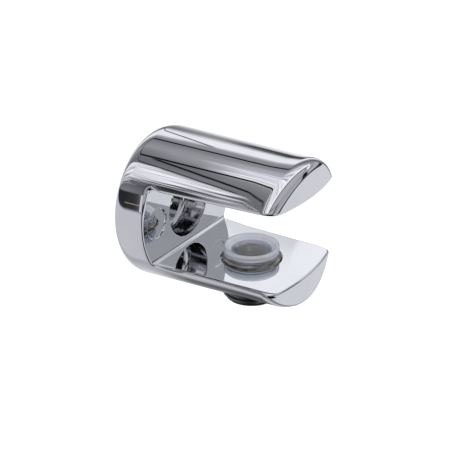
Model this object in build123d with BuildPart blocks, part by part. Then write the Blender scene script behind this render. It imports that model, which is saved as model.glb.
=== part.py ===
from build123d import *
import os

# A round clamp bracket for a glass shelf, held to the wall by one screw. Its casting is a
# tapered round bar with a slot across the front. The shelf lies between the two jaws, on a
# soft pad that a screw in the lower jaw lifts. Millimetres. The wall face lies in the XZ
# plane through the origin, the bracket reaches out along -Y, and +Z is up.

os.makedirs("parts", exist_ok=True)

# Casting
rear_diameter = 32.0
front_diameter = 29.6
reach = 36.4
bulge_radius = 48.8
rear_roll = 1.6
front_roll = 2.0

# Shelf slot
slot_height = 16.1
rear_wall = 7.6
slot_corner = 0.7
lip_chamfer = 0.4

# Stepped bore for the wall screw, and the ejector marks beside it
wall_screw_hole = 4.5
head_bore = 13.4
head_bore_depth = 5.5
head_bore_corner = 0.9
bore_edge = 0.2
ejector_mark = 6.3
ejector_mark_depth = 0.4
ejector_mark_spacing = 21.8

# Clamp screw in the lower jaw
screw_reach = 22.9
screw_diameter = 11.9
screw_clearance = 0.05
screw_stand_out = 1.27
screw_end_chamfer = 0.5
screw_hole_chamfer = 0.4
hex_across_flats = 6.0
hex_depth = 4.0

# Clear pad on the screw's top end
pad_stand_off = 0.8
pad_diameter = 11.35
pad_height = 1.95
pad_rim_chamfer = 0.18
pad_land = 0.45
pad_dish_depth = 0.95
pad_dish_foot = 8.2
pad_well = 6.2
pad_floor = 0.55
pad_groove_width = 0.5
pad_groove_depth = 0.22
pad_stem = 4.0
pad_stem_length = 2.0
pad_stem_clearance = 0.05
pad_stem_end_gap = 0.4
pad_seat_gap = 0.02

# Radii, levels and planes that follow from the sizes above
rear_radius = rear_diameter / 2
front_radius = front_diameter / 2
half_slot = slot_height / 2
screw_radius = screw_diameter / 2
pad_radius = pad_diameter / 2
stem_radius = pad_stem / 2
pad_bottom = pad_stand_off - half_slot
pad_top = pad_bottom + pad_height
groove_middle = pad_bottom + pad_height / 2
screw_top = pad_bottom - pad_seat_gap
jaw_radius_at_screw = rear_radius - (rear_radius - front_radius) * screw_reach / reach
screw_bottom = -jaw_radius_at_screw - screw_stand_out
screw_length = screw_top - screw_bottom
slot_back_plane = Plane(origin=(0, -rear_wall, 0), x_dir=(1, 0, 0), z_dir=(0, -1, 0))
screw_axis = Axis((0, -screw_reach, 0), (0, 0, 1))


def level_on_screw_axis(height):
    """An upward plane at that height, with its origin on the clamp screw's axis."""
    return Plane(origin=(0, -screw_reach, height))


# The casting
with BuildPart() as bracket_body:
    # A solid bar, tapered from the wall face to the front.
    with BuildSketch(Plane.XY):
        with BuildLine():
            Polyline((0, 0), (rear_radius, 0), (front_radius, -reach), (0, -reach), close=True)
        make_face()
    revolve(axis=Axis.Y)

    # The end face is bulged in plan: an upright drum wall whose middle is the foremost line.
    with BuildSketch(Plane.XY.offset(-rear_diameter)):
        with Locations((0, bulge_radius - reach)):
            Circle(bulge_radius)
    extrude(amount=2 * rear_diameter, mode=Mode.INTERSECT)

    # Both ends roll over into the round outside.
    fillet(bracket_body.faces().sort_by(Axis.Y)[-1].edges(), radius=rear_roll)
    fillet(bracket_body.faces().sort_by(Axis.Y)[0].edges(), radius=front_roll)

    # The shelf slot runs out through both sides and the front.
    with BuildSketch(slot_back_plane):
        Rectangle(2 * rear_diameter, slot_height)
    extrude(amount=reach, mode=Mode.SUBTRACT)
    slot_back = bracket_body.faces().filter_by(Axis.Y).sort_by(Axis.Y)[0]
    fillet(slot_back.edges().filter_by(Axis.X), radius=slot_corner)

    # The slot's walls are its floor, ceiling and back with the rounds between them. Each edge
    # that only one of them has is on the slot's mouth, where the walls meet the outside.
    slot_walls = bracket_body.faces().filter_by(Axis.Z)
    slot_walls += bracket_body.faces().filter_by(Axis.Y).sort_by(Axis.Y)[0:1]
    slot_walls += bracket_body.faces().filter_by(
        lambda face: face.geom_type == GeomType.CYLINDER and face.radius < bulge_radius / 2
    )
    wall_edges = [edge for wall in slot_walls for edge in wall.edges()]
    mouth_edges = [edge for edge in wall_edges if wall_edges.count(edge) == 1]
    chamfer(mouth_edges, length=lip_chamfer)

    # The wall screw's stepped bore, with a sloped corner at its floor and a broken edge at its mouth.
    with Locations(slot_back_plane):
        CounterBoreHole(
            radius=wall_screw_hole / 2,
            counter_bore_radius=head_bore / 2,
            counter_bore_depth=head_bore_depth,
            depth=rear_wall,
        )
    head_bore_rims = (
        bracket_body.edges()
        .filter_by(GeomType.CIRCLE)
        .filter_by(lambda edge: abs(edge.radius - head_bore / 2) < 1e-6)
        .sort_by(Axis.Y)
    )
    chamfer(head_bore_rims[0], length=bore_edge)
    head_bore_floor = (
        bracket_body.edges()
        .filter_by(GeomType.CIRCLE)
        .filter_by(lambda edge: abs(edge.radius - head_bore / 2) < 1e-6)
        .sort_by(Axis.Y)[-1]
    )
    chamfer(head_bore_floor, length=head_bore_corner)

    # Shallow round marks left by the ejector pins, one each side of the bore.
    with Locations(slot_back_plane):
        with GridLocations(ejector_mark_spacing, 0, 2, 1):
            Hole(radius=ejector_mark / 2, depth=ejector_mark_depth)

    # The clamp screw's hole goes down through the lower jaw, chamfered at the slot's floor.
    with Locations(level_on_screw_axis(-half_slot)):
        CounterSinkHole(
            radius=screw_radius + screw_clearance,
            counter_sink_radius=screw_radius + screw_clearance + screw_hole_chamfer,
            depth=rear_radius,
            counter_sink_angle=90,
        )

bracket_body.part.label = "bracket_body"
export_step(bracket_body.part, "parts/bracket_body.step")

# The clamp screw: a threaded plug, turned from below and bored on top for the pad's stem
with BuildPart() as clamp_screw:
    with BuildSketch(level_on_screw_axis(screw_bottom)):
        Circle(screw_radius)
    extrude(amount=screw_length)
    chamfer(clamp_screw.edges().filter_by(GeomType.CIRCLE), length=screw_end_chamfer)
    with BuildSketch(level_on_screw_axis(screw_bottom)):
        RegularPolygon(radius=hex_across_flats / 2, side_count=6, major_radius=False)
    extrude(amount=hex_depth, mode=Mode.SUBTRACT)
    with Locations(level_on_screw_axis(screw_top)):
        Hole(
            radius=stem_radius + pad_stem_clearance,
            depth=pad_stem_length - pad_seat_gap + pad_stem_end_gap,
        )

clamp_screw.part.label = "clamp_screw"
export_step(clamp_screw.part, "parts/clamp_screw.step")

# The pad: a dished disc with a groove round its side, turned together with its stem
with BuildPart() as glass_pad:
    with BuildSketch(Plane.XZ.offset(screw_reach)):
        with BuildLine():
            Polyline(
                (0, pad_bottom - pad_stem_length),
                (stem_radius, pad_bottom - pad_stem_length),
                (stem_radius, pad_bottom),
                (pad_radius, pad_bottom),
                (pad_radius, groove_middle - pad_groove_width / 2),
                (pad_radius - pad_groove_depth, groove_middle),
                (pad_radius, groove_middle + pad_groove_width / 2),
                (pad_radius, pad_top),
                (pad_radius - pad_land, pad_top),
                (pad_dish_foot / 2, pad_top - pad_dish_depth),
                (pad_well / 2, pad_bottom + pad_floor),
                (0, pad_bottom + pad_floor),
                close=True,
            )
        make_face()
    revolve(axis=screw_axis)
    pad_rims = (
        glass_pad.edges()
        .filter_by(GeomType.CIRCLE)
        .filter_by(lambda edge: abs(edge.radius - pad_radius) < 1e-6)
        .sort_by(Axis.Z)
    )
    chamfer([pad_rims[0], pad_rims[-1]], length=pad_rim_chamfer)

glass_pad.part.label = "glass_pad"
export_step(glass_pad.part, "parts/glass_pad.step")
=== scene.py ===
import logging
import math
from dataclasses import dataclass
from enum import Enum
from functools import reduce
from operator import mul

import bmesh
import bpy
import numpy as np
from mathutils import Matrix, Vector


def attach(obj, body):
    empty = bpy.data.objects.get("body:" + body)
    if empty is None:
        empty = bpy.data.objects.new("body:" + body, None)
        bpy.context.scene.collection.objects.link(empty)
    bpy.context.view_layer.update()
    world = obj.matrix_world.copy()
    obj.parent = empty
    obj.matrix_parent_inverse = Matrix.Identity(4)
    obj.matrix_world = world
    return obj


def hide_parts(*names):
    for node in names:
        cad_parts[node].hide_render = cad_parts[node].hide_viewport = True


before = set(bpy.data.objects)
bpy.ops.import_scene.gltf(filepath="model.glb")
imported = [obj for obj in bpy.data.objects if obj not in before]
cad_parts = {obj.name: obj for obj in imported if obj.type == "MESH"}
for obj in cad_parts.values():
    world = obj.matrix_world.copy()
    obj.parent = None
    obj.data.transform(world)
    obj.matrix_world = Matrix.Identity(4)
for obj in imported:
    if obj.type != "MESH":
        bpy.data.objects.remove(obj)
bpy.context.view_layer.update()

logging.basicConfig(level=logging.INFO, format="%(name)s: %(message)s")
log = logging.getLogger("bracket")

MM = 0.001
"""One millimetre in metres. Sizes are in millimetres, and meshes are scaled as they are made."""

TO_WALL = np.array([0.0, 1.0, 0.0])
"""The unit vector along the bar, towards the wall."""


# Mesh building


class Shell:
    """A surface made of patches. Patches share their border points, which are merged at the end."""

    def __init__(self) -> None:
        """Starts with no points and no faces."""
        self.points: list[np.ndarray] = []
        self.faces: list[tuple[int, ...]] = []
        self.count = 0

    def _add(self, points: np.ndarray) -> int:
        """Stores an N by 3 array of points and returns the number of the first one."""
        first = self.count
        self.points.append(np.asarray(points, float))
        self.count += len(points)
        return first

    def grid(self, points: np.ndarray, wrap: bool = False) -> "Shell":
        """Adds a patch of quads.

        Args:
            points: rows by columns by 3.
            wrap: the last column joins the first one.
        Returns:
            The shell itself, so that calls can be chained.
        """
        rows, columns, _ = points.shape
        first = self._add(points.reshape(-1, 3))
        index = first + np.arange(rows * columns).reshape(rows, columns)
        right = np.roll(index, -1, axis=1)
        last = columns if wrap else columns - 1
        quads = np.stack(
            [index[:-1, :last], right[:-1, :last], right[1:, :last], index[1:, :last]], axis=-1
        )
        self.faces += list(map(tuple, quads.reshape(-1, 4).tolist()))
        return self

    def polygon(self, points: np.ndarray) -> "Shell":
        """Adds one flat face with these corners in order."""
        first = self._add(points)
        self.faces.append(tuple(range(first, first + len(points))))
        return self

    def flipped(self, axis: int) -> "Shell":
        """Returns this shell's mirror image across the plane where that axis is 0."""
        image = Shell()
        flip = np.ones(3)
        flip[axis] = -1
        image._add(np.concatenate(self.points) * flip)
        image.faces = [face[::-1] for face in self.faces]
        return image

    def joined(self, other: "Shell") -> "Shell":
        """Returns a shell with the faces of both."""
        both = Shell()
        both._add(np.concatenate(self.points))
        first = both._add(np.concatenate(other.points))
        both.faces = self.faces + [tuple(i + first for i in face) for face in other.faces]
        return both

    def mirrored(self, axis: int) -> "Shell":
        """Returns this shell joined with its mirror image across that axis."""
        return self.joined(self.flipped(axis))

    def build(self, name: str, merge: float = 2e-4) -> bpy.types.Object:
        """Makes a closed mesh object of the shell.

        Args:
            name: the piece's name.
            merge: how near two points lie to be made one, in millimetres.
        Returns:
            The new object, at the origin, with its faces outward.
        """
        mesh = bpy.data.meshes.new(name)
        mesh.from_pydata((np.concatenate(self.points) * MM).tolist(), [], self.faces)
        work = bmesh.new()
        work.from_mesh(mesh)
        bmesh.ops.remove_doubles(work, verts=work.verts, dist=merge * MM)
        bmesh.ops.dissolve_degenerate(work, edges=work.edges, dist=merge * MM * 0.5)
        bmesh.ops.recalc_face_normals(work, faces=work.faces)
        open_edges = sum(1 for e in work.edges if not e.is_manifold)
        work.to_mesh(mesh)
        work.free()
        made = bpy.data.objects.new(name, mesh)
        bpy.context.scene.collection.objects.link(made)
        counts = len(mesh.vertices), len(mesh.polygons), open_edges
        log.info("%s: %d points, %d faces, %d open edges", name, *counts)
        return made


def packed(*parts: np.ndarray | float) -> np.ndarray:
    """Points or vectors from their coordinates, each a field or a single number."""
    return np.stack(np.broadcast_arrays(*parts), axis=-1)


def revolved(profile: np.ndarray, centre: tuple[float, float], steps: int) -> np.ndarray:
    """Turns a profile round an upright axis.

    Each profile point is a radius and a height. The surface point is the centre plus the radius
    times the cosine and sine of the turn, at the profile's height.

    Args:
        profile: N by 2, radius and height.
        centre: x and y of the axis.
        steps: columns in a full turn.
    Returns:
        N by steps by 3 points, to be wrapped.
    """
    turn = np.linspace(0, 2 * np.pi, steps, endpoint=False)
    radius, height = profile[:, :1], profile[:, 1:]
    return packed(centre[0] + radius * np.cos(turn), centre[1] + radius * np.sin(turn), height)


def turned(a: np.ndarray, b: np.ndarray, share: np.ndarray) -> np.ndarray:
    """Turns unit vectors a towards unit vectors b by a share of the angle between them."""
    angle = np.arccos(np.clip(np.sum(a * b, axis=-1, keepdims=True), -1, 1))
    return (np.sin((1 - share) * angle) * a + np.sin(share * angle) * b) / np.sin(angle)


def smoothed(share: np.ndarray) -> np.ndarray:
    """Eases a share at both of its ends: three squares less two cubes."""
    return share * share * (3 - 2 * share)


def eased(
    start: np.ndarray,
    corner: np.ndarray,
    end: np.ndarray,
    share: np.ndarray,
    pull: float,
    end_pull: float,
) -> np.ndarray:
    """A cubic curve from start to end, tangent at both to the lines that meet at the corner.

    Args:
        start: where the curve starts.
        corner: where the two tangents cross.
        end: where it ends.
        share: 0 at the start, 1 at the end.
        pull: how far towards the corner the start's handle reaches.
        end_pull: the same for the end's handle.
    Returns:
        Points of the curve.
    """
    first = start + pull * (corner - start)
    last = end + end_pull * (corner - end)
    rest = 1 - share
    near_start = rest**3 * start + 3 * rest**2 * share * first
    return near_start + 3 * rest * share**2 * last + share**3 * end


def smooth(piece: bpy.types.Object, sharp_degrees: float = 33) -> bpy.types.Object:
    """Shades a piece smooth, with edges above that angle sharp and normals weighted by area."""
    mesh = piece.data
    mesh.shade_smooth()
    mesh.set_sharp_from_angle(angle=math.radians(sharp_degrees))
    weigh = piece.modifiers.new("weighted_normals", "WEIGHTED_NORMAL")
    weigh.keep_sharp = True
    weigh.weight = 60
    return piece


def cut(piece: bpy.types.Object, tool: bpy.types.Object) -> bpy.types.Object:
    """Takes the closed tool away from the closed piece, and deletes the tool."""
    step = piece.modifiers.new("cut", "BOOLEAN")
    step.operation, step.solver, step.object = "DIFFERENCE", "EXACT", tool
    bpy.context.view_layer.update()
    graph = bpy.context.evaluated_depsgraph_get()
    made = bpy.data.meshes.new_from_object(piece.evaluated_get(graph))
    piece.modifiers.remove(step)
    piece.data = made
    bpy.data.objects.remove(tool)
    return piece


# Shader building


class Value:
    """A number or a field of numbers in a shader, on which Python's operators add Math nodes."""

    def __init__(self, shader: "Shader", socket: bpy.types.NodeSocket) -> None:
        """Holds one output socket of a shader's node."""
        self.shader = shader
        self.socket = socket

    def _math(self, operation: str, *inputs: "Value | float") -> "Value":
        """Adds one Math node with these inputs."""
        return self.shader.add("ShaderNodeMath", {"operation": operation}, dict(enumerate(inputs)))

    def __add__(self, other: "Value | float") -> "Value":
        """Sum."""
        return self._math("ADD", self, other)

    def __sub__(self, other: "Value | float") -> "Value":
        """Difference."""
        return self._math("SUBTRACT", self, other)

    def __rsub__(self, other: float) -> "Value":
        """Reflected difference."""
        return self._math("SUBTRACT", other, self)

    def __mul__(self, other: "Value | float") -> "Value":
        """Product."""
        return self._math("MULTIPLY", self, other)

    def __truediv__(self, other: "Value | float") -> "Value":
        """Quotient."""
        return self._math("DIVIDE", self, other)

    def __rtruediv__(self, other: float) -> "Value":
        """Reflected quotient."""
        return self._math("DIVIDE", other, self)

    __radd__ = __add__
    __rmul__ = __mul__

    def at_least(self, low: float) -> "Value":
        """The larger of this and low."""
        return self._math("MAXIMUM", self, low)

    def at_most(self, high: float) -> "Value":
        """The smaller of this and high."""
        return self._math("MINIMUM", self, high)

    def root(self) -> "Value":
        """Square root."""
        return self._math("SQRT", self)

    def wave(self) -> "Value":
        """Sine."""
        return self._math("SINE", self)

    def fraction(self) -> "Value":
        """What is left after whole numbers are taken away."""
        return self._math("FRACT", self)

    def turn_from(self, other: "Value") -> "Value":
        """The angle whose sine goes with this and whose cosine goes with the other, in radians."""
        return self._math("ARCTAN2", self, other)

    def __abs__(self) -> "Value":
        """Size without sign."""
        return self._math("ABSOLUTE", self)

    def step(self, start: float, end: float) -> "Value":
        """Rises smoothly from 0 at start to 1 at end, and end may lie below start."""
        low, high = (0.0, 1.0) if start < end else (1.0, 0.0)
        return self.shader.add(
            "ShaderNodeMapRange",
            {"interpolation_type": "SMOOTHSTEP"},
            {
                "Value": self,
                "From Min": min(start, end),
                "From Max": max(start, end),
                "To Min": low,
                "To Max": high,
            },
        )

    def step_mm(self, start: float, end: float) -> "Value":
        """The same step for a length in metres, with start and end in millimetres."""
        return self.step(start * MM, end * MM)


class Shader:
    """A node tree under construction."""

    def __init__(self, tree: bpy.types.NodeTree) -> None:
        """Empties the tree."""
        self.tree = tree
        tree.nodes.clear()

    def add(
        self,
        kind: str,
        settings: dict | None = None,
        inputs: dict | None = None,
        output: int | str = 0,
    ) -> Value:
        """Adds a node.

        Args:
            kind: the node's type.
            settings: properties that are set first, with "stops" for a colour ramp.
            inputs: values or links by socket name or number.
            output: the socket that is returned.
        Returns:
            The chosen output.
        """
        node = self.tree.nodes.new(kind)
        for name, value in (settings or {}).items():
            if name == "stops":
                elements = node.color_ramp.elements
                while len(elements) > 1:
                    elements.remove(elements[-1])
                for number, (place, colour) in enumerate(value):
                    stop = elements[0] if number == 0 else elements.new(place)
                    stop.position, stop.color = place, (*colour, 1.0)
            else:
                setattr(node, name, value)
        for name, value in (inputs or {}).items():
            socket = node.inputs[name]
            if isinstance(value, Value):
                self.tree.links.new(value.socket, socket)
            elif hasattr(socket.default_value, "__len__") and len(socket.default_value) == 4:
                socket.default_value = (*value, 1.0)[:4]
            else:
                socket.default_value = value
        return Value(self, node.outputs[output] if node.outputs else None)

    def mixed(self, share: Value | float, a: Value | tuple, b: Value | tuple) -> Value:
        """Mixes two colours."""
        return self.add("ShaderNodeMix", {"data_type": "RGBA"}, {"Factor": share, 6: a, 7: b}, 2)

    def noise(
        self, place: Value, scale: float, detail: float = 2.0, stretch: tuple = (1, 1, 1)
    ) -> Value:
        """A field of soft noise from 0 to 1. The scale is in features per unit of the place."""
        if stretch != (1, 1, 1):
            place = self.add("ShaderNodeMapping", {}, {"Vector": place, "Scale": stretch})
        inputs = {"Vector": place, "Scale": scale, "Detail": detail}
        return self.add("ShaderNodeTexNoise", {}, inputs, "Fac")

    def parts(self, vector: Value) -> tuple[Value, Value, Value]:
        """The x, y and z of a vector."""
        node = self.add("ShaderNodeSeparateXYZ", {}, {"Vector": vector}).socket.node
        return tuple(Value(self, output) for output in node.outputs)

    def ramp(self, share: Value, greys: list[tuple[float, float]]) -> Value:
        """A ramp over a share from 0 to 1, with a slightly blue grey of 0 to 255 at each stop."""
        stops = [(place, linear(g - 1, g, min(g + 5, 255))) for place, g in greys]
        return self.add("ShaderNodeValToRGB", {"stops": stops}, {"Fac": share})

    def bump(self, strength: float, depth_mm: float, height: Value) -> Value:
        """A normal that is tilted by a field of heights."""
        inputs = {"Strength": strength, "Distance": depth_mm * MM, "Height": height}
        return self.add("ShaderNodeBump", {}, inputs)

    def principled(self, colour: Value, rough: Value, normal: Value, **others: float) -> Value:
        """A principled surface. Other inputs are given with _ for each space of their names."""
        inputs = {"Base Color": colour, "Roughness": rough, "Normal": normal}
        inputs |= {name.replace("_", " "): value for name, value in others.items()}
        return self.add("ShaderNodeBsdfPrincipled", {}, inputs)


def new_material(name: str) -> tuple[bpy.types.Material, Shader]:
    """A new material and its emptied shader."""
    made = bpy.data.materials.new(name)
    made.use_nodes = True
    return made, Shader(made.node_tree)


def linear(red: float, green: float, blue: float) -> tuple[float, float, float]:
    """A colour as the picture's 0 to 255 numbers, turned into linear light."""
    return tuple(
        c / 12.92 if c <= 0.04045 else ((c + 0.055) / 1.055) ** 2.4
        for c in (red / 255, green / 255, blue / 255)
    )


# Finishes


@dataclass(frozen=True)
class Chrome:
    """Bright plating on a polished casting, a little wavy and with faint wiping marks.

    The wall screw's bore is rougher than the rest, and its colour is painted darker as shade in
    the recess: its radius, mouth and floor are each given as where the bright plating ends and
    where the darker, rougher one is full, in millimetres.
    """

    colour: tuple = (0.905, 0.910, 0.930)
    shade: tuple = (0.865, 0.872, 0.895)
    # Painted shade: the bore's darker colour stands for shade in the recess.
    bore: tuple = (0.62, 0.62, 0.64)
    roughness: float = 0.03
    wipe: float = 0.05
    bore_roughness: float = 0.08
    wave: float = 0.10
    wave_depth: float = 0.12
    bore_radius: tuple = (6.9, 6.8)
    bore_mouth: tuple = (-7.55, -7.4)
    bore_floor: tuple = (-2.2, -2.4)

    def material(self) -> bpy.types.Material:
        """Makes the material."""
        made, shader = new_material("polished_chrome")
        place = shader.add("ShaderNodeTexCoord", output="Object")
        cloud = shader.noise(place, 140, 3)
        wiped = shader.noise(place, 900, 4, (1, 0.12, 1))
        wave = shader.noise(place, 110, 1)
        x, y, z = shader.parts(place)
        bore_shade_and_dullness = (x * x + z * z).root().step_mm(*self.bore_radius)
        bore_shade_and_dullness = bore_shade_and_dullness * y.step_mm(*self.bore_mouth) * y.step_mm(*self.bore_floor)
        colour = shader.mixed(cloud.step(0.35, 0.7), self.colour, self.shade)
        # Painted shade: the bore's colour is darkened here, and its roughness is raised below.
        colour = shader.mixed(bore_shade_and_dullness, colour, self.bore)
        rough = self.roughness + self.wipe * (wiped.step(0.5, 0.8) * cloud)
        rough = rough + self.bore_roughness * bore_shade_and_dullness
        bump = shader.bump(self.wave, self.wave_depth, wave)
        surface = shader.principled(colour, rough, bump, Metallic=1.0)
        shader.add("ShaderNodeOutputMaterial", {}, {"Surface": surface})
        return made


@dataclass(frozen=True)
class DarkSteel:
    """A matt dark plating on a turned and threaded plug, worn in patches.

    The top face is painted darker, as shade under the pad, and the lower end is darker too. Their
    levels are where the change starts and where it is complete, in millimetres.
    """

    colour: tuple = (0.36, 0.345, 0.325)
    worn: tuple = (0.66, 0.63, 0.58)
    low_end: tuple = (0.20, 0.20, 0.20)
    # Painted shade: the colour of the top face, which lies under the pad.
    top: tuple = (0.13, 0.12, 0.11)
    low_levels: tuple = (-13.0, -9.0)
    shaded_top_levels: tuple = (-7.42, -7.32)
    roughness: float = 0.26
    grain_roughness: float = 0.22
    grain_strength: float = 0.12
    grain_depth: float = 0.05

    def material(self) -> bpy.types.Material:
        """Makes the material."""
        made, shader = new_material("dark_screw")
        place = shader.add("ShaderNodeTexCoord", output="Object")
        grain = shader.noise(place, 2600, 4)
        patch = shader.noise(place, 500, 4, (1, 1, 5))
        _, _, z = shader.parts(place)
        upper = shader.mixed(patch.step(0.42, 0.6), self.colour, self.worn)
        # Painted shade: the top face under the pad is darkened.
        upper = shader.mixed(z.step_mm(*self.shaded_top_levels), upper, self.top)
        colour = shader.mixed(z.step_mm(*self.low_levels), self.low_end, upper)
        rough = self.roughness + self.grain_roughness * grain
        bump = shader.bump(self.grain_strength, self.grain_depth, grain)
        surface = shader.principled(colour, rough, bump, Metallic=1.0)
        shader.add("ShaderNodeOutputMaterial", {}, {"Surface": surface})
        return made


@dataclass(frozen=True)
class ClearPlastic:
    """Clear soft plastic with a faint grey-blue tint, and milky on its land and in its dish.

    Each zone is bounded by a distance from the pad's axis and a level. Both are given as where
    the zone starts and where it is full, in millimetres. The milky part also glows faintly, as
    painted light.
    """

    colour: tuple = (0.72, 0.76, 0.84)
    cloudy: tuple = (0.62, 0.67, 0.77)
    warm: tuple = (0.66, 0.60, 0.54)
    milk: tuple = (0.93, 0.95, 1.0)
    milk_shade: tuple = (0.84, 0.87, 0.95)
    # Painted light: the milky part glows faintly, to lighten it where the jaw above keeps light
    # off.
    glow: tuple = (0.62, 0.68, 0.82)
    painted_glow_dimmer: tuple = (0.50, 0.56, 0.70)
    painted_glow_strength: float = 0.15
    refraction: float = 1.46
    roughness: float = 0.08
    cloud_roughness: float = 0.06
    well_roughness: float = 0.3
    ring_wave: float = 20000
    ring_height: float = 0.5
    ring_strength: float = 0.10
    ring_depth: float = 0.08
    well_radius: tuple = (3.2, 3.0)
    well_level: tuple = (-6.9, -6.7)
    wall_radius: tuple = (3.0, 4.4)
    wall_level: tuple = (-6.9, -6.2)
    slope_inner: tuple = (4.0, 4.3)
    slope_outer: tuple = (5.4, 5.2)
    slope_level: tuple = (-6.4, -6.2)
    land_level: tuple = (-5.85, -5.5)
    milkiness: tuple = (0.09, 0.3, 0.55, 0.12)
    """How milky it is everywhere, and how much more on the wall, the slope and the land."""

    def material(self) -> bpy.types.Material:
        """Makes the material."""
        made, shader = new_material("clear_pad")
        place = shader.add("ShaderNodeTexCoord", output="Object")
        cloud = shader.noise(place, 500, 3)
        x, y, z = shader.parts(place)
        y = y + PadSizes().reach * MM
        away = (x * x + y * y).root()
        well = away.step_mm(*self.well_radius) * z.step_mm(*self.well_level)
        wall = away.step_mm(*self.wall_radius) * z.step_mm(*self.wall_level)
        slope = away.step_mm(*self.slope_inner) * away.step_mm(*self.slope_outer)
        slope = slope * z.step_mm(*self.slope_level)
        land = z.step_mm(*self.land_level)
        colour = shader.mixed(cloud.step(0.35, 0.7), self.colour, self.cloudy)
        colour = shader.mixed(well, colour, self.warm)
        rough = self.roughness + self.cloud_roughness * cloud + self.well_roughness * well
        height = cloud + self.ring_height * (away * self.ring_wave).wave()
        bump = shader.bump(self.ring_strength, self.ring_depth, height)
        clear = shader.principled(
            colour, rough, bump, IOR=self.refraction, Transmission_Weight=1.0
        )
        milk = shader.mixed(cloud, self.milk, self.milk_shade)
        # Painted light: the milky shader glows with this colour.
        glow = shader.mixed(cloud, self.glow, self.painted_glow_dimmer)
        milky = shader.principled(
            milk, rough, bump, Emission_Color=glow, Emission_Strength=self.painted_glow_strength
        )
        mirrored = shader.add("ShaderNodeFresnel", {}, {"IOR": self.refraction})
        always, on_wall, on_slope, on_land = self.milkiness
        share = always + on_wall * wall + on_slope * slope + on_land * land
        share = share * (1 - mirrored)
        surface = shader.add("ShaderNodeMixShader", {}, {0: share, 1: clear, 2: milky})
        shader.add("ShaderNodeOutputMaterial", {}, {"Surface": surface})
        return made


# The casting


@dataclass(frozen=True)
class CastingSizes:
    """The casting's sizes, in millimetres."""

    rear_radius: float = 16.0
    front_radius: float = 14.8
    reach: float = 36.4
    bulge_radius: float = 48.8
    rear_roll: float = 1.6
    rear_ease: float = 3.0
    front_roll: float = 2.0
    front_ease: float = 2.9
    bar_pull: float = 0.72
    face_pull: float = 0.55
    half_slot: float = 8.05
    rear_wall: float = 7.6
    slot_corner: float = 0.7
    lip_roll: float = 0.35
    lower_lip_roll: float = 0.7
    rear_lip_roll: float = 0.65
    rear_lip_blend: float = 1.8
    lip_blend: float = 7.0
    wall_hole_radius: float = 2.25
    bore_radius: float = 6.7
    bore_depth: float = 5.5
    bore_corner: float = 1.2
    bore_edge: float = 0.2
    mark_radius: float = 3.15
    mark_depth: float = 0.4
    mark_edge: float = 0.25
    mark_draft: float = 0.05
    mark_offset: float = 10.9
    screw_reach: float = 22.9
    screw_hole_radius: float = 6.0
    screw_hole_chamfer: float = 0.4
    cutter_excess: float = 0.6


@dataclass(frozen=True)
class CastingSteps:
    """How finely each part of the casting is divided, and how often its equations are refined."""

    arc: int = 56
    jaw: int = 64
    rear: int = 8
    roll: int = 36
    lip: int = 8
    corner: int = 8
    back: int = 24
    face: int = 24
    bore_corner: int = 10
    bore_edge: int = 5
    mark: int = 48
    screw_hole: int = 180
    rim_rounds: int = 25
    lip_rounds: int = 50


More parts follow.
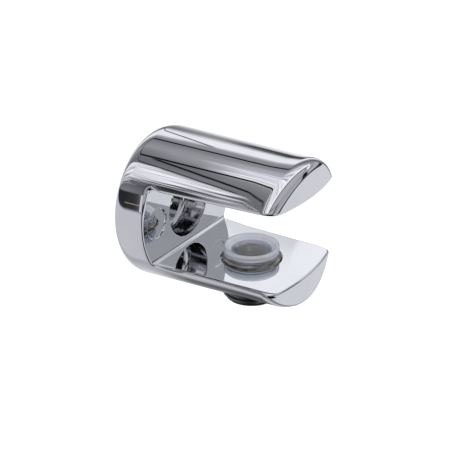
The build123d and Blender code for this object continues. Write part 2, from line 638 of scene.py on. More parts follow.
class Casting:
    """The tapered bar with its slot, lips, stepped bore and the hole for the clamp screw.

    A quarter with x and z at or above 0 is built from patches for each jaw, because their lips
    differ. Both are mirrored across x = 0, and the lower one is flipped. Angles run round the bar
    from +X towards +Z.
    """

    MARK_EDGE = ((1.0, 0.0), (0.7, 0.06), (0.4, 0.22), (0.15, 0.5), (0.0, 1.0))
    """The mark's rounded edge: each point's distance out and depth, as shares of the edge."""

    LIP_SEARCH = (20, 70)
    """The angles round the bar, in degrees, between which the lip meets the front rim."""

    def __init__(
        self, sizes: CastingSizes = CastingSizes(), steps: CastingSteps = CastingSteps()
    ) -> None:
        """Works out the taper."""
        self.s = sizes
        self.n = steps
        self.taper = (sizes.rear_radius - sizes.front_radius) / sizes.reach
        self.lean = math.atan(self.taper)

    def radius(self, y: np.ndarray) -> np.ndarray:
        """The bar's radius at that y."""
        return self.s.rear_radius + self.taper * y

    def bar_normal(self, angle: np.ndarray) -> np.ndarray:
        """Outward normal of the tapered bar: radial, leaning to the front by the taper's angle."""
        across, along = math.cos(self.lean), -math.sin(self.lean)
        return packed(across * np.cos(angle), along, across * np.sin(angle))

    def bar_point(self, angle: np.ndarray, y: np.ndarray) -> np.ndarray:
        """A point of the bar's skin: the radius at y times the angle's cosine and sine."""
        r = self.radius(y)
        return packed(r * np.cos(angle), y, r * np.sin(angle))

    def drum_y(self, x: np.ndarray) -> np.ndarray:
        """The y of the upright drum that bulges the end face."""
        return self.s.bulge_radius - self.s.reach - np.sqrt(self.s.bulge_radius**2 - x**2)

    def drum_normal(self, x: np.ndarray) -> np.ndarray:
        """Outward normal of that drum."""
        y = self.drum_y(x) - (self.s.bulge_radius - self.s.reach)
        return packed(x, y, 0.0) / self.s.bulge_radius

    def front_curve(self, angle: np.ndarray, share: np.ndarray) -> np.ndarray:
        """The polished front rim, which eases from the bar into the end face.

        At each angle it is a cubic curve in the plane through the axis. It leaves the bar along
        the bar's own line and meets the drum along the drum's tangent.

        Args:
            angle: angles round the bar.
            share: 0 at the bar, 1 at the drum.
        Returns:
            Surface points.
        """
        s = self.s
        across = np.cos(angle)
        rho = 0 * angle + s.front_radius
        for _ in range(self.n.rim_rounds):
            rho = self.radius(self.drum_y(rho * across))
        start_y = self.drum_y(rho * across) + s.front_ease
        start = packed(self.radius(start_y), start_y)
        end_rho = rho - s.front_roll
        end_y = self.drum_y(end_rho * across)
        slope = end_rho * across**2 / np.sqrt(s.bulge_radius**2 - (end_rho * across) ** 2)
        corner_rho = s.rear_radius + self.taper * (end_y - slope * end_rho)
        corner_rho = corner_rho / (1 - self.taper * slope)
        corner = packed(corner_rho, end_y + slope * (corner_rho - end_rho))
        end = packed(end_rho, end_y)
        flat = eased(start, corner, end, share[..., None], s.bar_pull, s.face_pull)
        rho, y = flat[..., 0], flat[..., 1]
        return packed(rho * across, y, rho * np.sin(angle))

    def front_roll(self, angle: np.ndarray, share: np.ndarray) -> tuple[np.ndarray, np.ndarray]:
        """Points of the front rim and their outward normals, from small steps both ways."""
        step = 1e-4
        along = self.front_curve(angle, share + step) - self.front_curve(angle, share - step)
        around = self.front_curve(angle + step, share) - self.front_curve(angle - step, share)
        normal = np.cross(around, along)
        normal /= np.linalg.norm(normal, axis=-1, keepdims=True)
        return self.front_curve(angle, share), normal

    def lip_angle(self, share: np.ndarray, size: np.ndarray) -> np.ndarray:
        """The angle where the lip's ball of that size touches the front rim, by halving."""
        level = self.s.half_slot + size
        low, high = (0 * share + math.radians(limit) for limit in self.LIP_SEARCH)
        for _ in range(self.n.lip_rounds):
            middle = (low + high) / 2
            point, normal = self.front_roll(middle, share)
            over = (point - size[..., None] * normal)[..., 2] > level
            low, high = np.where(over, low, middle), np.where(over, middle, high)
        return (low + high) / 2

    def ball_on_bar(
        self, y: np.ndarray, z: np.ndarray, size: np.ndarray | float
    ) -> tuple[np.ndarray, np.ndarray]:
        """The middle of the lip's ball at that y and z, and the normal of the bar's skin there."""
        rho = self.radius(y) - size / math.cos(self.lean)
        x = np.sqrt(rho**2 - z**2)
        return packed(x, y, z), self.bar_normal(np.arctan2(z, x))

    @staticmethod
    def path(
        middle: np.ndarray, skin: np.ndarray, wall: np.ndarray, size: np.ndarray | float
    ) -> np.ndarray:
        """Rows of ten numbers for the lip's ball: its middle, its two normals and its size."""
        rows = np.ones((len(middle), 1))
        return np.hstack([middle, skin, rows * wall, rows * np.reshape(size, (-1, 1))])

    def bore(self, ring: np.ndarray) -> np.ndarray:
        """The wall screw's stepped bore: its profile of radius and y, turned round the bar's axis.

        Args:
            ring: unit vectors at the angles that the profile is turned to.
        Returns:
            Points by angles by 3, from the wall face to the slot's back wall.
        """
        s, n = self.s, self.n
        floor_y = -s.rear_wall + s.bore_depth
        corner_turn = np.linspace(0, math.pi / 2, n.bore_corner + 1)
        edge_turn = np.linspace(0, math.pi / 2, n.bore_edge + 1)
        corner_arc = packed(
            s.bore_radius - s.bore_corner * (1 - np.sin(corner_turn)),
            floor_y - s.bore_corner * (1 - np.cos(corner_turn)),
        )
        edge_arc = packed(
            s.bore_radius + s.bore_edge * (1 - np.cos(edge_turn)),
            -s.rear_wall + s.bore_edge * (1 - np.sin(edge_turn)),
        )
        hole = [[s.wall_hole_radius, 0.0], [s.wall_hole_radius, floor_y]]
        profile = np.concatenate([hole, corner_arc, edge_arc])
        return profile[:, :1, None] * ring + profile[:, 1:, None] * TO_WALL

    def mark(self) -> np.ndarray:
        """The upper half of an ejector mark, as rings from its edge down to its flat floor."""
        s = self.s
        turn = np.linspace(0, math.pi, self.n.mark + 1)
        ring = packed(np.cos(turn), 0.0, np.sin(turn))
        centre = np.array([s.mark_offset, -s.rear_wall, 0.0])
        levels = [
            (s.mark_radius + out * s.mark_edge, depth * s.mark_edge)
            for out, depth in self.MARK_EDGE
        ]
        levels.append((s.mark_radius - s.mark_draft, s.mark_depth))
        return np.stack([centre + r * ring + depth * TO_WALL for r, depth in levels])

    def quarter(self, jaw_lip: float, rear_lip: float, blend: float) -> Shell:
        """Builds the quarter with x and z at or above 0.

        Args:
            jaw_lip: the lip's radius along the jaw's sides. It blends into the common one in front.
            rear_lip: the lip's radius at the slot's root, from where it blends both ways.
            blend: how far along the jaw it blends.
        Returns:
            The quarter's open shell.
        """
        s, n = self.s, self.n
        e = s.lip_roll
        level = s.half_slot + e
        shell = Shell()

        # The slot's mouth, as the path of the ball's middle with its two normals. It starts on the
        # end face's middle line and ends at the back wall's middle line.
        spread = np.linspace(0, 1, n.arc + 1)
        roll_share = np.linspace(0, 1, n.roll + 1)
        roll_e = jaw_lip + (e - jaw_lip) * smoothed(roll_share)
        roll_start = self.lip_angle(roll_share, roll_e)
        roll_angles = roll_start[:, None] + (math.pi / 2 - roll_start[:, None]) * spread
        roll_shares = roll_share[:, None] + 0 * roll_angles
        roll_points, roll_normals = self.front_roll(roll_angles, roll_shares)
        base_x = roll_points[-1, :, 0]
        base_normal = self.drum_normal(base_x)
        base_skin = packed(base_x, self.drum_y(base_x), level)

        bar_front = roll_points[0, 0, 1]
        bar_rear = -(s.rear_wall + s.slot_corner) - rear_lip * math.sin(self.lean)
        along = np.linspace(0, 1, n.jaw + 1)
        edge_y = bar_rear + (bar_front - bar_rear) * along
        blended = smoothed(np.clip((bar_rear - edge_y) / blend, 0, 1))
        jaw_e = rear_lip + (jaw_lip - rear_lip) * blended
        jaw_middle, jaw_normal = self.ball_on_bar(
            edge_y + jaw_e * math.sin(self.lean), s.half_slot + jaw_e, jaw_e
        )
        bend = np.linspace(0, math.pi / 2, n.corner + 1)
        bend_radius = s.slot_corner + rear_lip
        bend_level = s.half_slot - s.slot_corner
        corner_middle, corner_normal = self.ball_on_bar(
            -(s.rear_wall + s.slot_corner) + bend_radius * np.sin(bend),
            bend_level + bend_radius * np.cos(bend),
            rear_lip,
        )
        back_z = np.linspace(bend_level, 0, n.back + 1)
        back_e = e + (rear_lip - e) * smoothed(back_z / bend_level)
        back_middle, back_normal = self.ball_on_bar(-s.rear_wall + back_e, back_z, back_e)

        down = np.array([0.0, 0.0, -1.0])
        bend_wall = -packed(0.0, np.sin(bend), np.cos(bend))
        roll_middle = roll_points[:, 0] - roll_e[:, None] * roll_normals[:, 0]
        base = self.path(base_skin - e * base_normal, base_normal, down, e)
        roll = self.path(roll_middle, roll_normals[:, 0], down, roll_e)
        jaw = self.path(jaw_middle, jaw_normal, down, jaw_e)
        corner = self.path(corner_middle, corner_normal, bend_wall, rear_lip)
        back = self.path(back_middle, back_normal, -TO_WALL, back_e)
        path = np.concatenate([base[::-1], roll[-2::-1], jaw[-2::-1], corner[1:], back[1:]])
        middle, skin, wall, size = np.split(path[:, None], [3, 6, 9], axis=2)
        turn = np.linspace(0, 1, n.lip + 1)[None, :, None]
        lip = middle + size * turned(skin, wall, turn)
        shell.grid(lip)
        inner = lip[:, -1]
        level_count = len(base) + n.roll + n.jaw
        corner_end = level_count + n.corner

        # The slot's ceiling, root and back wall.
        root = inner[level_count - 1 : corner_end]
        root_middle = root * np.array([0.0, 1.0, 1.0])
        shell.polygon(np.concatenate([inner[:level_count], root_middle[:1]]))
        shell.grid(np.stack([root, root_middle], axis=1))

        # Columns round the rear part: those of the slot's back, then those of the jaw.
        jaw_start = math.atan2(jaw_middle[0, 2], jaw_middle[0, 0])
        side = np.concatenate([corner, back[1:]])[::-1]
        side_angle = np.arctan2(side[:, 2], side[:, 0])
        side_y = side[:, 1] - side[:, -1] * math.sin(self.lean)
        upper_angle = jaw_start + (math.pi / 2 - jaw_start) * spread
        columns = np.concatenate([side_angle, upper_angle[1:]])
        column_y = np.concatenate([side_y, bar_rear + 0 * upper_angle[1:]])
        roll_end = -s.rear_ease
        depth = np.linspace(0, 1, n.rear + 1)[:, None]
        shell.grid(self.bar_point(columns + 0 * depth, roll_end + (column_y - roll_end) * depth))

        # The rim at the wall face, and the wall face.
        rho = s.rear_radius - s.rear_roll
        ring = packed(np.cos(columns), 0.0, np.sin(columns))
        rim = eased(
            np.array([self.radius(-s.rear_ease), -s.rear_ease]),
            np.array([s.rear_radius, 0.0]),
            np.array([rho, 0.0]),
            np.linspace(0, 1, n.roll + 1)[:, None],
            s.bar_pull,
            s.face_pull,
        )
        shell.grid(rim[:, :1, None] * ring + rim[:, 1:, None] * TO_WALL)
        shell.grid(np.stack([rho * ring, s.wall_hole_radius * ring]))

        # The jaw's skin, the front roll and the end face.
        jaw_angle = np.arctan2(jaw_middle[:, 2], jaw_middle[:, 0])[:, None]
        jaw_angle = jaw_angle + (math.pi / 2 - jaw_angle) * spread
        jaw_y = bar_rear + (roll_points[0, :, 1] - bar_rear) * along[:, None]
        shell.grid(self.bar_point(jaw_angle, jaw_y))
        shell.grid(roll_points)
        face_share = np.linspace(0, 1, n.face + 1)[:, None, None]
        shell.grid(base_skin + (roll_points[-1] - base_skin) * face_share)

        # The stepped bore, one ejector mark and the back wall round both.
        bore, mark = self.bore(ring), self.mark()
        shell.grid(bore)
        shell.grid(mark)
        shell.polygon(mark[-1])
        shell.polygon(
            np.concatenate([root_middle[-1:], inner[corner_end - 1 :], mark[0], bore[-1]])
        )
        return shell

    def build(self) -> bpy.types.Object:
        """Mirrors both quarters, cuts the clamp screw's hole and shades the piece."""
        s, n = self.s, self.n
        upper = self.quarter(s.lip_roll, s.rear_lip_roll, s.rear_lip_blend).mirrored(0)
        lower = self.quarter(s.lower_lip_roll, s.lip_roll, s.lip_blend).mirrored(0).flipped(2)
        whole = upper.joined(lower).build("casting")
        top = s.screw_hole_radius + s.screw_hole_chamfer + s.cutter_excess
        above = -s.half_slot + s.cutter_excess
        below = -s.rear_radius - 2
        profile = np.array(
            [
                [0.0, above],
                [top, above],
                [s.screw_hole_radius, -s.half_slot - s.screw_hole_chamfer],
                [s.screw_hole_radius, below],
                [0.0, below],
            ]
        )
        cutter = revolved(profile, (0.0, -s.screw_reach), n.screw_hole)
        tool = Shell().grid(cutter, wrap=True).build("tool")
        return smooth(cut(whole, tool))


# The clamp screw


@dataclass(frozen=True)
class ScrewSizes:
    """The clamp screw's sizes, in millimetres."""

    reach: float = 22.9
    radius: float = 5.95
    top: float = -7.27
    length: float = 9.25
    pitch: float = 1.0
    thread_depth: float = 0.55
    thread_top: float = -7.41
    thread_bottom: float = -16.56
    thread_turn: float = 221.8
    thread_crest: float = 0.10
    thread_flank: float = 0.28
    chamfer: float = 0.5
    edge: float = 0.12
    hex_across: float = 6.0
    hex_depth: float = 4.0
    hex_point: float = 0.9
    bore_radius: float = 2.05
    bore_depth: float = 2.38
    rows: int = 320
    columns: int = 240


class ClampScrew:
    """A threaded plug with a hexagon socket in its lower end and a small bore in its top end."""

    def __init__(self, sizes: ScrewSizes = ScrewSizes()) -> None:
        """Keeps the sizes."""
        self.s = sizes

    def thread(self, turn: np.ndarray) -> np.ndarray:
        """The threaded side.

        A ridge stands on the core and climbs by the pitch in each turn. At every point the nearest
        turn of its middle line is found, and the ridge is there if that line's height lies between
        the thread's two ends. Its flat crest and its flank are shares of the pitch. Both ends of
        the screw are cut to a cone by the chamfer.

        Args:
            turn: the angles round the screw, in radians.
        Returns:
            Rows by columns by 3 points, from the bottom up.
        """
        s = self.s
        bottom = s.top - s.length
        z = np.linspace(bottom, s.top, s.rows)[:, None]
        first = s.thread_top + s.pitch * (turn / (2 * np.pi) - s.thread_turn / 360)
        ridge = first + s.pitch * np.round((z - first) / s.pitch)
        beside = np.abs(z - ridge) / s.pitch - s.thread_crest
        beside = np.clip(beside / s.thread_flank, 0, 1)
        there = (ridge < s.thread_top + 0.001) & (ridge > s.thread_bottom)
        r = s.radius - s.thread_depth * (1 - there * (1 - smoothed(beside)))
        end = np.minimum(z - bottom, s.top - z)
        r = np.minimum(r, s.radius - s.chamfer + end)
        return packed(r * np.cos(turn), -s.reach + r * np.sin(turn), z)

    def build(self) -> bpy.types.Object:
        """Makes the side, both ends, the hexagon socket and the bore."""
        s = self.s
        bottom = s.top - s.length
        turn = np.linspace(0, 2 * np.pi, s.columns, endpoint=False)

        def level(r: np.ndarray | float, z: float) -> np.ndarray:
            """A ring of that radius at that height."""
            return packed(r * np.cos(turn), -s.reach + r * np.sin(turn), z)

        sixth = (turn + np.pi / 6) % (np.pi / 3) - np.pi / 6
        hexagon = s.hex_across / 2 / np.cos(sixth)
        outline = [
            level(0.0, bottom + s.hex_depth + s.hex_point),
            level(hexagon, bottom + s.hex_depth),
            level(hexagon, bottom + s.edge),
            level(hexagon + s.edge, bottom),
            *self.thread(turn),
            level(s.bore_radius + s.edge, s.top),
            level(s.bore_radius, s.top - s.edge),
            level(s.bore_radius, s.top - s.bore_depth),
            level(0.0, s.top - s.bore_depth),
        ]
        made = Shell().grid(np.stack(outline), wrap=True).build("threaded_plug")
        return smooth(made, sharp_degrees=38)


# The pad


@dataclass(frozen=True)
class PadSizes:
    """The pad's sizes, in millimetres."""

    reach: float = 22.9
    bottom: float = -7.25
    height: float = 1.95
    radius: float = 5.675
    rim_round: float = 0.25
    groove_round: float = 0.08
    land_round: float = 0.15
    dish_round: float = 0.25
    well_round: float = 0.15
    stem_round: float = 0.2
    land: float = 0.45
    dish_depth: float = 0.95
    dish_foot: float = 4.1
    well: float = 3.1
    floor: float = 0.55
    groove_width: float = 0.5
    groove_depth: float = 0.22
    stem_radius: float = 2.0
    stem_length: float = 2.0
    corner_steps: int = 6
    columns: int = 160


class GlassPad:
    """The clear dished pad with a groove round its side and a stem under it."""

    def __init__(self, sizes: PadSizes = PadSizes()) -> None:
        """Keeps the sizes."""
        self.s = sizes

    def profile(self) -> np.ndarray:
        """Radius and height, from the stem's end round the rim to the middle of the well."""
        s = self.s
        top, middle = s.bottom + s.height, s.bottom + s.height / 2
        corners = [
            (0.0, s.bottom - s.stem_length, 0.0),
            (s.stem_radius, s.bottom - s.stem_length, s.stem_round),
            (s.stem_radius, s.bottom, 0.0),
            (s.radius, s.bottom, s.rim_round),
            (s.radius, middle - s.groove_width / 2, s.groove_round),
            (s.radius - s.groove_depth, middle, s.groove_round),
            (s.radius, middle + s.groove_width / 2, s.groove_round),
            (s.radius, top, s.rim_round),
            (s.radius - s.land, top, s.land_round),
            (s.dish_foot, top - s.dish_depth, s.dish_round),
            (s.well, s.bottom + s.floor, s.well_round),
            (0.0, s.bottom + s.floor, 0.0),
        ]
        return rounded(corners, s.corner_steps)

    def build(self) -> bpy.types.Object:
        """Turns the profile round the screw's axis."""
        skin = revolved(self.profile(), (0.0, -self.s.reach), self.s.columns)
        made = Shell().grid(skin, wrap=True).build("clear_pad_disc")
        return smooth(made, sharp_degrees=50)


def rounded(corners: list[tuple[float, float, float]], steps: int) -> np.ndarray:
    """Rounds a profile's corners.

    Args:
        corners: radius, height and rounding of each corner. 0 keeps the corner.
        steps: pieces in each rounded corner.
    Returns:
        N by 2 points.
    """
    points = np.array([c[:2] for c in corners], float)
    made = [points[:1]]
    for number in range(1, len(corners) - 1):
        here, size = points[number], corners[number][2]
        if size == 0:
            made.append(here[None])
            continue
        back = points[number - 1] - here
        on = points[number + 1] - here
        back, on = back / np.linalg.norm(back), on / np.linalg.norm(on)
        half = math.acos(float(np.clip(back @ on, -1, 1))) / 2
        reach = size / math.tan(half)
        inward = (back + on) / np.linalg.norm(back + on)
        middle = here + inward * size / math.sin(half)
        start, end = here + back * reach - middle, here + on * reach - middle
        a, b = math.atan2(start[1], start[0]), math.atan2(end[1], end[0])
        b = a + (b - a + math.pi) % (2 * math.pi) - math.pi
        t = np.linspace(a, b, steps + 1)
        made.append(middle + size * packed(np.cos(t), np.sin(t)))
    made.append(points[-1:])
    return np.concatenate(made)


# The studio


@dataclass(frozen=True)
class View:
    """The camera's place, found from the outlines in the picture.

    Angles are in degrees and lengths in millimetres, and the lens is for a 36 mm sensor.
    """

    azimuth: float = -57.209
    elevation: float = 25.172
    roll: float = -0.831
    target: tuple = (0.928, -15.978, -2.986)
    distance: float = 185.03
    lens: float = 71.86

    def build(self) -> bpy.types.Object:
        """Makes the camera and makes it the scene's own."""
        a, e, r = (math.radians(v) for v in (self.azimuth, self.elevation, self.roll))
        back = Vector((math.sin(a) * math.cos(e), -math.cos(a) * math.cos(e), math.sin(e)))
        right = Vector((math.cos(a), math.sin(a), 0))
        up = back.cross(right)
        right, up = right * math.cos(r) + up * math.sin(r), up * math.cos(r) - right * math.sin(r)
        data = bpy.data.cameras.new("camera")
        data.lens, data.sensor_width = self.lens, 36
        data.clip_start, data.clip_end = 0.005, 10
        made = bpy.data.objects.new("camera", data)
        bpy.context.scene.collection.objects.link(made)
        turn = Matrix((right, up, back)).transposed().to_4x4()
        place = Vector(self.target) + back * self.distance
        made.matrix_world = Matrix.Translation(place * MM) @ turn
        bpy.context.scene.camera = made
        return made


@dataclass(frozen=True)
class Patch:
    """A patch of one colour in the world, bounded by smooth steps of named fields."""

    colour: tuple[int, int, int]
    steps: tuple[tuple[str, float, float], ...]

    def laid(self, shader: Shader, fields: dict[str, Value], under: Value) -> Value:
        """Lays the patch over the colours under it."""
        share = reduce(mul, (fields[name].step(start, end) for name, start, end in self.steps))
        return shader.mixed(share, under, linear(*self.colour))


@dataclass(frozen=True)
class Studio:
    """The floor, the lamp and what the chrome sees round it.

    Two fields are laid over the world behind the bracket. The place is the angle round the bar,
    in degrees, at which a direction shows. It starts at the bar's upper outline, and the place
    turn brings a direction's own angle there. The lean is about 0 for what shows at the bar's
    front end and 1 for what shows at its rear end. Greys go from 0 to 255.
    """

    floor_level: float = -60.0
    floor_half: float = 1500.0
    lamp_place: tuple = (-250.0, -450.0, 600.0)
    lamp_side: float = 500.0
    lamp_power: float = 2.0
    first_place: float = 60.8
    places: float = 180.0
    place_turn: float = 389.2
    lean_zero: float = 0.42
    lean_span: float = 0.12
    rear_bands: tuple = (
        # Place and grey, in all three sets of bands.
        (60.8, 237), (64, 245), (68, 238), (73, 207), (76, 186), (79, 151), (84.5, 116),
        (86.5, 160), (88.5, 222), (91, 242), (98.7, 242), (101, 160), (103, 140), (106, 125),
        (110, 144), (114, 155), (117, 132), (121, 119), (127, 110), (139, 140), (141, 200),
        (143, 125), (144.6, 40), (145.6, 100), (152, 128), (153, 40), (164.5, 45),
        (166.5, 198), (206, 198), (210, 172), (240, 235),
    )
    middle_bands: tuple = (
        (60.8, 250), (69, 248), (73, 232), (77, 207), (80, 155), (83, 172), (86, 178),
        (88.5, 205), (91, 243), (97, 246), (98.6, 200), (100.2, 150), (104, 140), (107, 130),
        (111, 152), (116, 157), (119.5, 145), (123, 118), (126, 112), (130, 125), (139, 130),
        (141, 100), (143, 160), (145, 72), (164.5, 60),
        (166.5, 198), (206, 185), (222, 95), (236, 165),
    )
    front_bands: tuple = (
        (60.8, 255), (72, 254), (77, 232), (81, 190), (83.5, 150), (87.5, 130), (89.2, 200),
        (91, 243), (97, 246), (99.4, 170), (101, 149), (104, 138), (108, 142), (110.5, 176),
        (113, 180), (116, 232), (118.2, 205), (120.5, 250), (122.4, 235), (124, 142), (129, 124),
        (134, 116), (138, 104), (140.5, 100), (144, 170), (146, 175), (164.5, 60),
        (166.5, 198), (206, 160), (222, 85), (236, 95), (240.8, 150),
    )
    wedges: tuple = (
        # Middle at lean 0, its drift with the lean, half width, its growth, grey.
        (136.35, -1.2, 0.35, 6.3, 250),
        (114.8, 0.0, 1.3, -2.4, 240),
        (120.4, 0.3, 2.1, -5.2, 252),
    )
    wedge_limit: float = 5.3
    wedge_edge: tuple = (-0.3, 0.4)
    wedge_streak: tuple = (0.42, 0.56)
    wedge_shade: tuple = (62, 60, 55)
    lines: tuple = (
        # Middle at lean 0, its drift with the lean, half width, grey, lowest and highest lean.
        (131.4, -9.0, 1.0, 6, -9.0, 0.86),
        (135.2, -7.5, 0.55, 50, 0.05, 1.6),
        (106.9, -15.0, 0.9, 80, 0.5, 2.0),
    )
    line_core: float = 0.4
    line_ends: tuple = (0.08, 0.05)
    loop: tuple = (113.75, 8.85, 8.6, 1.9, 9.0, 1.05)
    """A dark line round a long loop: middle, half width, corner, end, stretch and half line."""

    loop_core: float = 0.35
    fan: float = 1.2
    """How fast the bands spread from the loop's middle past the bar's front end."""

    streak_reach: float = 1.2
    streak_pace: tuple = (0.95, 0.8, 1.1)
    """The noise's steps across the bar for the place and the lean, and along it for the lean."""

    bar_patches: tuple = (
        # A dark hatch, light and dark streaks, a pale band in front, and a gold line at the rear.
        Patch(
            (28, 28, 32),
            (("place", 79.5, 82), ("place", 87.5, 86), ("lean", 0.9, 0.3), ("streak", 0.36, 0.52)),
        ),
        Patch((235, 235, 240), (("place", 136, 141), ("place", 148, 144), ("streak", 0.52, 0.6))),
        Patch((40, 40, 44), (("place", 136, 141), ("place", 148, 144), ("streak", 0.46, 0.4))),
        Patch(
            (205, 205, 211),
            (("place", 152.2, 152.9), ("place", 165.2, 164.6), ("lean", 0.82, 0.78)),
        ),
        Patch(
            (178, 162, 124),
            (("place", 160.26, 160.48), ("place", 160.94, 160.72), ("lean", 0.78, 0.82),
             ("lean", 1.1, 1.0)),
        ),
    )
    front_patches: tuple = (
        # White under the slot's root, dark and white for the front roll, dark by the screw.
        Patch((245, 245, 250), (("x", 0.70, 0.74), ("z", 0.49, 0.53))),
        Patch((50, 50, 55), (("z", 0.55, 0.62), ("y", -0.24, -0.2))),
        Patch((248, 248, 252), (("z", 0.55, 0.62), ("y", -0.17, -0.14))),
        Patch(
            (10, 10, 12),
            (("y", -0.55, -0.6), ("x", 0.5, 0.56), ("x", 0.72, 0.67), ("z", 0.12, 0.18),
             ("z", 0.6, 0.5)),
        ),
    )
    bore_steps: tuple = (("y", -0.72, -0.64), ("x", 0.1, -0.1), ("z", 0.66, 0.58))
    bore_sides: tuple = (("y", -0.58, -0.62), ("z", 0.3, 0.2))
    bore_dark: tuple = (10, 10, 12)
    """What the bore shows dark lies inside all of the steps and beyond one of the sides."""

    front_levels: tuple = (
        # The direction's z and the grey.
        (-1.0, 213), (-0.05, 213), (-0.02, 35), (0.10, 35), (0.16, 170), (0.3, 188), (0.36, 155),
        (0.5, 160), (0.6, 182), (0.66, 120), (0.71, 186), (0.8, 170), (0.88, 178), (1.0, 170),
    )

    def banded(self, shader: Shader, share: Value, bands: tuple) -> Value:
        """A ramp of greys over the share of all places, from the upper outline on."""
        return shader.ramp(share, [((t - self.first_place) / self.places, g) for t, g in bands])

    def behind(self, shader: Shader, toward: dict[str, Value]) -> Value:
        """What the bar shows: three sets of bands, with streaks, wedges, lines and a loop.

        Args:
            shader: the world's shader.
            toward: the direction's x, y and z.
        Returns:
            The colour in that direction.
        """
        turn = toward["z"].turn_from(toward["x"]) * (180 / math.pi) + self.place_turn
        place = (turn / 360).fraction() * self.places + self.first_place
        lean = (toward["y"] - self.lean_zero) / self.lean_span
        centre, half, corner, end, stretch, width = self.loop
        place = (place - centre) / (1 + (0 - lean).at_least(0) * self.fan) + centre
        share = (place - self.first_place) / self.places
        front, middle, rear = (
            self.banded(shader, share, bands)
            for bands in (self.front_bands, self.middle_bands, self.rear_bands)
        )
        seen = shader.mixed(lean.step(0.0, 0.55), front, middle)
        seen = shader.mixed(lean.step(0.55, 1.0), seen, rear)

        # Streaks are noise drawn out along the bar, slightly aslant.
        run = lean.at_least(0).at_most(self.streak_reach)
        across, aslant, along = self.streak_pace
        path = {"X": place * across + run * aslant, "Y": run * along}
        streak = shader.noise(shader.add("ShaderNodeCombineXYZ", {}, path), 1.0, 3.0)
        fields = {"place": place, "lean": lean, "streak": streak}
        for patch in self.bar_patches:
            seen = patch.laid(shader, fields, seen)

        for start, drift, wedge_half, growth, grey in self.wedges:
            reach = (lean * growth + wedge_half).at_most(self.wedge_limit)
            inside = (reach - abs(place - (lean * drift + start))).step(*self.wedge_edge)
            shade = linear(*(grey - less for less in self.wedge_shade))
            white = shader.mixed(streak.step(*self.wedge_streak), shade, linear(grey, grey, 255))
            seen = shader.mixed(inside, seen, white)

        rise, fall = self.line_ends
        for start, drift, line_half, grey, low, high in self.lines:
            core = line_half * self.line_core
            near = abs(place - (lean * drift + start)).step(line_half, core)
            near = near * lean.step(high, high - fall) * lean.step(low, low + rise)
            seen = shader.mixed(near, seen, linear(grey, grey, grey + 4))

        past = ((lean - end) * stretch + corner).at_least(0)
        beside = (abs(place - centre) - (half - corner)).at_least(0)
        away = abs((past * past + beside * beside).root() - corner)
        return shader.mixed(away.step(width, width * self.loop_core), seen, linear(8, 8, 10))

    def before(self, shader: Shader, toward: dict[str, Value]) -> Value:
        """What the slot's walls, the end face and the bore show: levels of grey with patches.

        Args:
            shader: the world's shader.
            toward: the direction's x, y and z.
        Returns:
            The colour in that direction.
        """
        levels = [((height + 1) / 2, grey) for height, grey in self.front_levels]
        seen = shader.ramp((toward["z"] + 1) / 2, levels)
        for patch in self.front_patches:
            seen = patch.laid(shader, toward, seen)
        inside = reduce(mul, (toward[name].step(*ends) for name, *ends in self.bore_steps))
        beside = sum(toward[name].step(*ends) for name, *ends in self.bore_sides)
        return shader.mixed(inside * beside.at_most(1), seen, linear(*self.bore_dark))

    def world(self) -> None:
        """White for the camera, plain light for matt surfaces, and the studio for the chrome."""
        made = bpy.data.worlds.new("studio")
        bpy.context.scene.world = made
        made.use_nodes = True
        shader = Shader(made.node_tree)
        direction = shader.parts(shader.add("ShaderNodeTexCoord", output="Generated"))
        toward = dict(zip("xyz", direction))
        before, behind = self.before(shader, toward), self.behind(shader, toward)
        seen = shader.mixed(toward["y"].step(-0.05, 0.05), before, behind)
        rays = shader.add("ShaderNodeLightPath").socket.node.outputs
        glossy, camera, through = (
            Value(shader, rays[f"Is {kind} Ray"]) for kind in ("Glossy", "Camera", "Transmission")
        )
        plain = shader.mixed(camera + through, (0.8, 0.8, 0.8), (1.0, 1.0, 1.0))
        colour = shader.mixed(glossy, plain, seen)
        light = shader.add("ShaderNodeBackground", {}, {"Color": colour, "Strength": 1.0})
        shader.add("ShaderNodeOutputWorld", {}, {"Surface": light})

    def floor(self) -> bpy.types.Object:
        """A wide pale floor under the bracket."""
        half, z = self.floor_half * MM, self.floor_level * MM
        corners = [(-half, -half, z), (half, -half, z), (half, half, z), (-half, half, z)]
        mesh = bpy.data.meshes.new("floor")
        mesh.from_pydata(corners, [], [(0, 1, 2, 3)])
        made = bpy.data.objects.new("floor", mesh)
        bpy.context.scene.collection.objects.link(made)
        paint, shader = new_material("floor_paint")
        place = shader.add("ShaderNodeTexCoord", output="Object")
        cloud = shader.noise(place, 4, 2)
        colour = shader.mixed(cloud, (0.99, 0.99, 0.99), (1.0, 1.0, 1.0))
        matt = shader.add("ShaderNodeBsdfDiffuse", {}, {"Color": colour})
        glow = shader.add("ShaderNodeEmission", {}, {"Color": (1, 1, 1), "Strength": 0.2})
        both = shader.add("ShaderNodeAddShader", {}, {0: matt, 1: glow})
        shader.add("ShaderNodeOutputMaterial", {}, {"Surface": both})
        mesh.materials.append(paint)
        made.visible_glossy = False
        return made

    def lamp(self) -> bpy.types.Object:
        """One broad soft lamp above and in front of the bracket."""
        data = bpy.data.lights.new("softbox", "AREA")
        data.shape, data.size, data.energy = "SQUARE", self.lamp_side * MM, self.lamp_power
        made = bpy.data.objects.new("softbox", data)
        bpy.context.scene.collection.objects.link(made)
        made.location = Vector(self.lamp_place) * MM
        made.rotation_mode = "QUATERNION"
        made.rotation_quaternion = (-Vector(self.lamp_place)).to_track_quat("-Z", "Y")
        made.visible_glossy = False
        return made

    def build(self) -> None:
        """Sets up the whole studio."""
        bpy.context.scene.view_settings.view_transform = "Standard"
        self.world()
        self.floor()
        self.lamp()
        View().build()


# The bracket as a whole


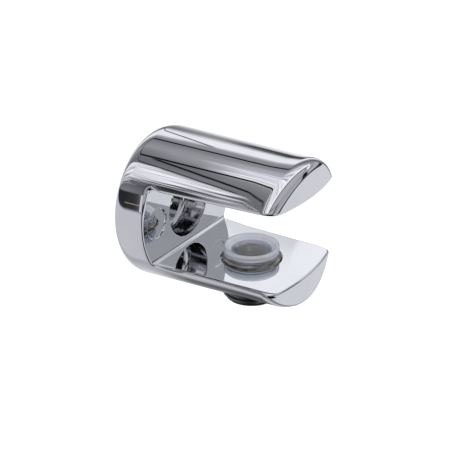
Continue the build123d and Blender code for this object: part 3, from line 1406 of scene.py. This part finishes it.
class Part(Enum):
    """The bracket's pieces: the CAD node, its body and its material slot."""

    CASTING = ("bracket_body", "bracket", "polished_chrome")
    SCREW = ("clamp_screw", "screw", "dark_screw")
    PAD = ("glass_pad", "pad", "clear_pad")

    def dress(self, piece: bpy.types.Object, finish: bpy.types.Material) -> None:
        """Gives a piece its finish, lets it ride on its body and stand for its CAD node."""
        node, body, slot = self.value
        piece.data.materials.clear()
        piece.data.materials.append(finish)
        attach(piece, body)
        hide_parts(node)
        log.info("%s stands for %s on %s", piece.name, node, body)


class Bracket:
    """The glass shelf bracket."""

    def build(self) -> None:
        """Builds and dresses every piece."""
        Part.CASTING.dress(Casting().build(), Chrome().material())
        Part.SCREW.dress(ClampScrew().build(), DarkSteel().material())
        Part.PAD.dress(GlassPad().build(), ClearPlastic().material())


def main() -> None:
    """Builds the studio and the bracket."""
    Studio().build()
    Bracket().build()
    bpy.context.view_layer.update()


if __name__ == "__main__":
    main()
